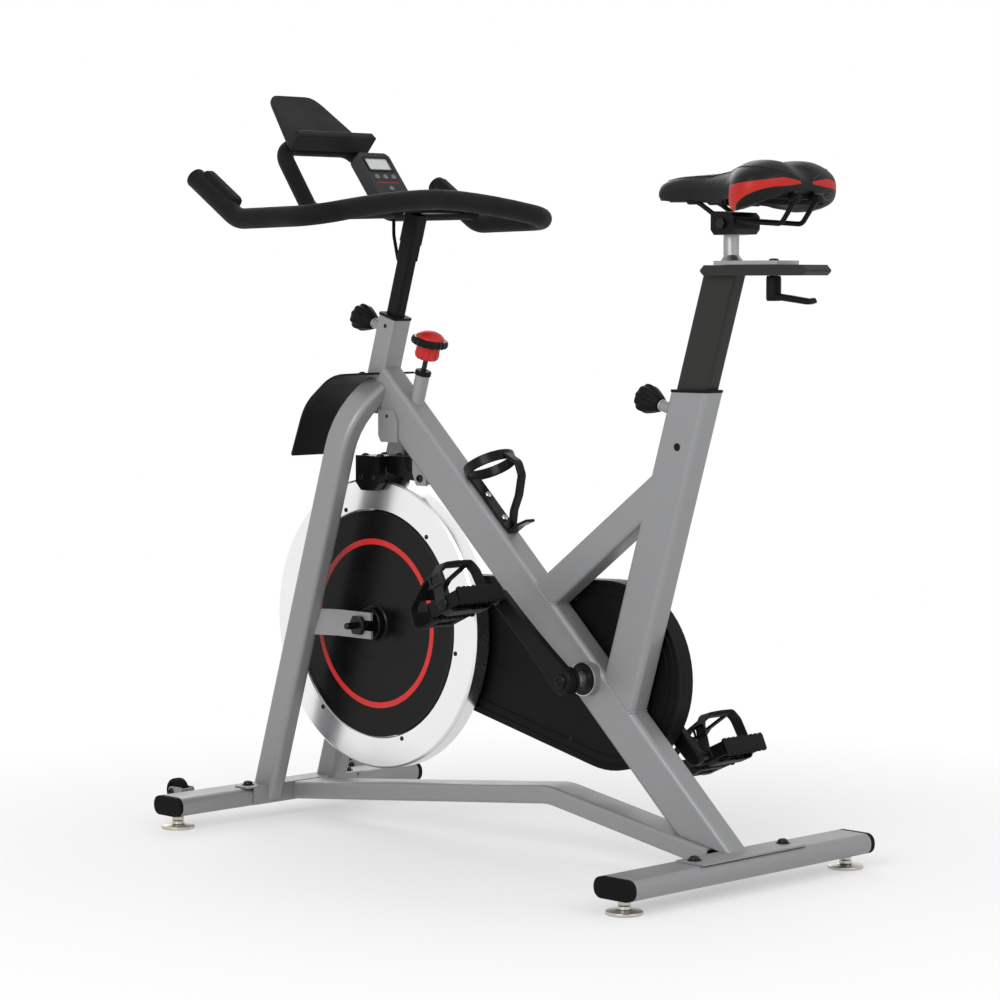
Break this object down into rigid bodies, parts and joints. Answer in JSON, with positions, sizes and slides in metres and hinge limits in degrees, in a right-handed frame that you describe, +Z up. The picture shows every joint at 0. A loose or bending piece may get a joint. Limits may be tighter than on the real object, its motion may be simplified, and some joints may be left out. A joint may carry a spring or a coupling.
{
  "type": "indoor spin bike",
  "caption": "Indoor training bike with a steel frame, enclosed belt drive, front flywheel with magnetic brake, sliding handlebar and saddle posts and a small display.",
  "frame": {"origin": "on the floor, under the middle of the bike's length and width", "axes": "+X forward, towards the handlebar; +Y to the rider's left; +Z up"},
  "size_m": [1.16, 0.539, 1.148],
  "materials": {
    "silver_paint": "satin silver powder coat",
    "end_cap_rubber": "matt black",
    "black_plastic": "fine-grained black",
    "belt_rubber": "matt black",
    "black_steel": "satin black",
    "bare_steel": "brushed",
    "rim_chrome": "polished rim with a red painted band",
    "grip_foam": "matt black foam cover",
    "console_grey": "grey with a pale display",
    "knob_red": "red dome over a black ring",
    "saddle_cover": "black stitched cover with red accents",
    "wheel_rubber": "matt black",
    "foot_zinc": "zinc plated"
  },
  "bodies": {
    "frame": {"main_beam": "silver_paint", "base_rail": "silver_paint", "head_tube": "silver_paint", "seat_tube": "silver_paint", "head_bushing": "black_plastic", "seat_bushing": "black_plastic", "fork_left": "silver_paint", "fork_right": "silver_paint", "fender": "black_plastic", "front_stabilizer": "silver_paint", "rear_stabilizer": "silver_paint", "front_end_cap_left": "end_cap_rubber", "front_end_cap_right": "end_cap_rubber", "rear_end_cap_left": "end_cap_rubber", "rear_end_cap_right": "end_cap_rubber", "belt_guard_inner": "black_plastic", "belt_guard_outer": "black_plastic", "drive_belt": "belt_rubber", "bottle_cage": "black_plastic", "flywheel_axle": "black_steel", "bottom_bracket": "bare_steel"},
    "flywheel": {"flywheel_rim": "rim_chrome", "flywheel_disc": "black_steel", "flywheel_pulley": "black_steel"},
    "crank": {"crank_spindle": "black_steel", "crank_left": "black_steel", "crank_right": "black_steel", "drive_pulley": "black_plastic"},
    "left_pedal": {"pedal_left": "black_plastic", "toe_cage_left": "black_plastic"},
    "right_pedal": {"pedal_right": "black_plastic", "toe_cage_right": "black_plastic"},
    "brake": {"brake_arm": "black_steel"},
    "rod": {"brake_rod": "black_steel"},
    "knob": {"brake_knob": "knob_red"},
    "handlebar": {"handlebar_post": "black_steel", "handlebar_bar": "grip_foam", "media_loop": "grip_foam", "console_body": "console_grey", "media_holder": "black_plastic", "display_cable": "belt_rubber"},
    "handlebar_pop_pin": {"handlebar_pin": "black_plastic"},
    "seat_pop_pin": {"seat_pin": "black_plastic"},
    "seat": {"seat_post": "black_steel"},
    "saddle": {"saddle_slider": "bare_steel", "saddle_clamp": "black_steel", "saddle_rails": "black_steel", "saddle_shell": "black_plastic", "saddle_pad": "saddle_cover"},
    "clamp_lever": {"seat_clamp_lever": "black_plastic"},
    "button_1": {"console_button_1": "console_grey"},
    "button_2": {"console_button_2": "console_grey"},
    "button_3": {"console_button_3": "console_grey"},
    "button_4": {"console_button_4": "console_grey"},
    "wheel_left": {"transport_wheel_left": "wheel_rubber"},
    "wheel_right": {"transport_wheel_right": "wheel_rubber"},
    "front_left_foot": {"front_foot_left": "foot_zinc"},
    "front_right_foot": {"front_foot_right": "foot_zinc"},
    "rear_left_foot": {"rear_foot_left": "foot_zinc"},
    "rear_right_foot": {"rear_foot_right": "foot_zinc"}
  },
  "joints": [
    {"name": "flywheel_spin", "type": "hinge", "parent": "frame", "child": "flywheel", "pos_m": [0.293, 0, 0.321], "axis": [0, 1, 0], "continuous": true},
    {"name": "crank_spin", "type": "hinge", "parent": "frame", "child": "crank", "pos_m": [-0.171, 0, 0.277], "axis": [0, 1, 0], "continuous": true},
    {"name": "left_pedal_spin", "type": "hinge", "parent": "crank", "child": "left_pedal", "pos_m": [-0.0427, 0.144, 0.38853], "axis": [0, 1, 0], "continuous": true},
    {"name": "right_pedal_spin", "type": "hinge", "parent": "crank", "child": "right_pedal", "pos_m": [-0.2993, -0.144, 0.16547], "axis": [0, 1, 0], "continuous": true},
    {"name": "handlebar_height", "type": "slide", "parent": "frame", "child": "handlebar", "axis": [-0.2924, 0, 0.9563], "range_m": [-0.045, 0.06]},
    {"name": "seat_height", "type": "slide", "parent": "frame", "child": "seat", "axis": [-0.2924, 0, 0.9563], "range_m": [-0.13, 0.06]},
    {"name": "seat_fore_aft", "type": "slide", "parent": "seat", "child": "saddle", "axis": [1, 0, 0], "range_m": [-0.038, 0.038]},
    {"name": "seat_clamp_turn", "type": "hinge", "parent": "saddle", "child": "clamp_lever", "pos_m": [-0.501, 0, 0.84], "axis": [0, 0, 1], "range_deg": [-90, 90]},
    {"name": "handlebar_pin_pull", "type": "slide", "parent": "frame", "child": "handlebar_pop_pin", "axis": [0.9563, 0, 0.2924], "range_m": [0, 0.012], "stiffness_N_per_m": 600, "springref_m": -0.006},
    {"name": "seat_pin_pull", "type": "slide", "parent": "frame", "child": "seat_pop_pin", "axis": [0.9563, 0, 0.2924], "range_m": [0, 0.012], "stiffness_N_per_m": 600, "springref_m": -0.006},
    {"name": "brake_swing", "type": "hinge", "parent": "frame", "child": "brake", "pos_m": [0.189, 0, 0.552], "axis": [0, 1, 0], "range_deg": [0, 7], "stiffness_Nm_per_rad": 8, "springref_deg": -25.78},
    {"name": "brake_rod_slide", "type": "slide", "parent": "frame", "child": "rod", "axis": [0.2924, 0, -0.9563], "range_m": [0, 0.0067]},
    {"name": "brake_knob_turn", "type": "hinge", "parent": "rod", "child": "knob", "pos_m": [0.1915, 0, 0.731], "axis": [-0.2924, 0, 0.9563], "range_deg": [-360, 360]},
    {"name": "console_button_1_press", "type": "slide", "parent": "handlebar", "child": "button_1", "axis": [0.7808, 0, -0.6248], "range_m": [0, 0.001], "stiffness_N_per_m": 600, "springref_m": -0.0006},
    {"name": "console_button_2_press", "type": "slide", "parent": "handlebar", "child": "button_2", "axis": [0.7808, 0, -0.6248], "range_m": [0, 0.001], "stiffness_N_per_m": 600, "springref_m": -0.0006},
    {"name": "console_button_3_press", "type": "slide", "parent": "handlebar", "child": "button_3", "axis": [0.7808, 0, -0.6248], "range_m": [0, 0.001], "stiffness_N_per_m": 600, "springref_m": -0.0006},
    {"name": "console_button_4_press", "type": "slide", "parent": "handlebar", "child": "button_4", "axis": [0.7808, 0, -0.6248], "range_m": [0, 0.001], "stiffness_N_per_m": 600, "springref_m": -0.0006},
    {"name": "transport_wheel_left_spin", "type": "hinge", "parent": "frame", "child": "wheel_left", "pos_m": [0.56, 0.193, 0.048], "axis": [0, 1, 0], "continuous": true},
    {"name": "transport_wheel_right_spin", "type": "hinge", "parent": "frame", "child": "wheel_right", "pos_m": [0.56, -0.193, 0.048], "axis": [0, 1, 0], "continuous": true},
    {"name": "front_foot_left_turn", "type": "hinge", "parent": "frame", "child": "front_left_foot", "pos_m": [0.505, 0.2375, 0.02], "axis": [0, 0, 1], "range_deg": [-360, 360]},
    {"name": "front_foot_right_turn", "type": "hinge", "parent": "frame", "child": "front_right_foot", "pos_m": [0.505, -0.2375, 0.02], "axis": [0, 0, 1], "range_deg": [-360, 360]},
    {"name": "rear_foot_left_turn", "type": "hinge", "parent": "frame", "child": "rear_left_foot", "pos_m": [-0.4445, 0.2375, 0.02], "axis": [0, 0, 1], "range_deg": [-360, 360]},
    {"name": "rear_foot_right_turn", "type": "hinge", "parent": "frame", "child": "rear_right_foot", "pos_m": [-0.4445, -0.2375, 0.02], "axis": [0, 0, 1], "range_deg": [-360, 360]}
  ],
  "couplings": [
    {"joint": "crank_spin", "follows": "flywheel_spin", "ratio": 0.26852},
    {"joint": "brake_rod_slide", "follows": "brake_swing", "m_per_rad": 0.0547}
  ]
}
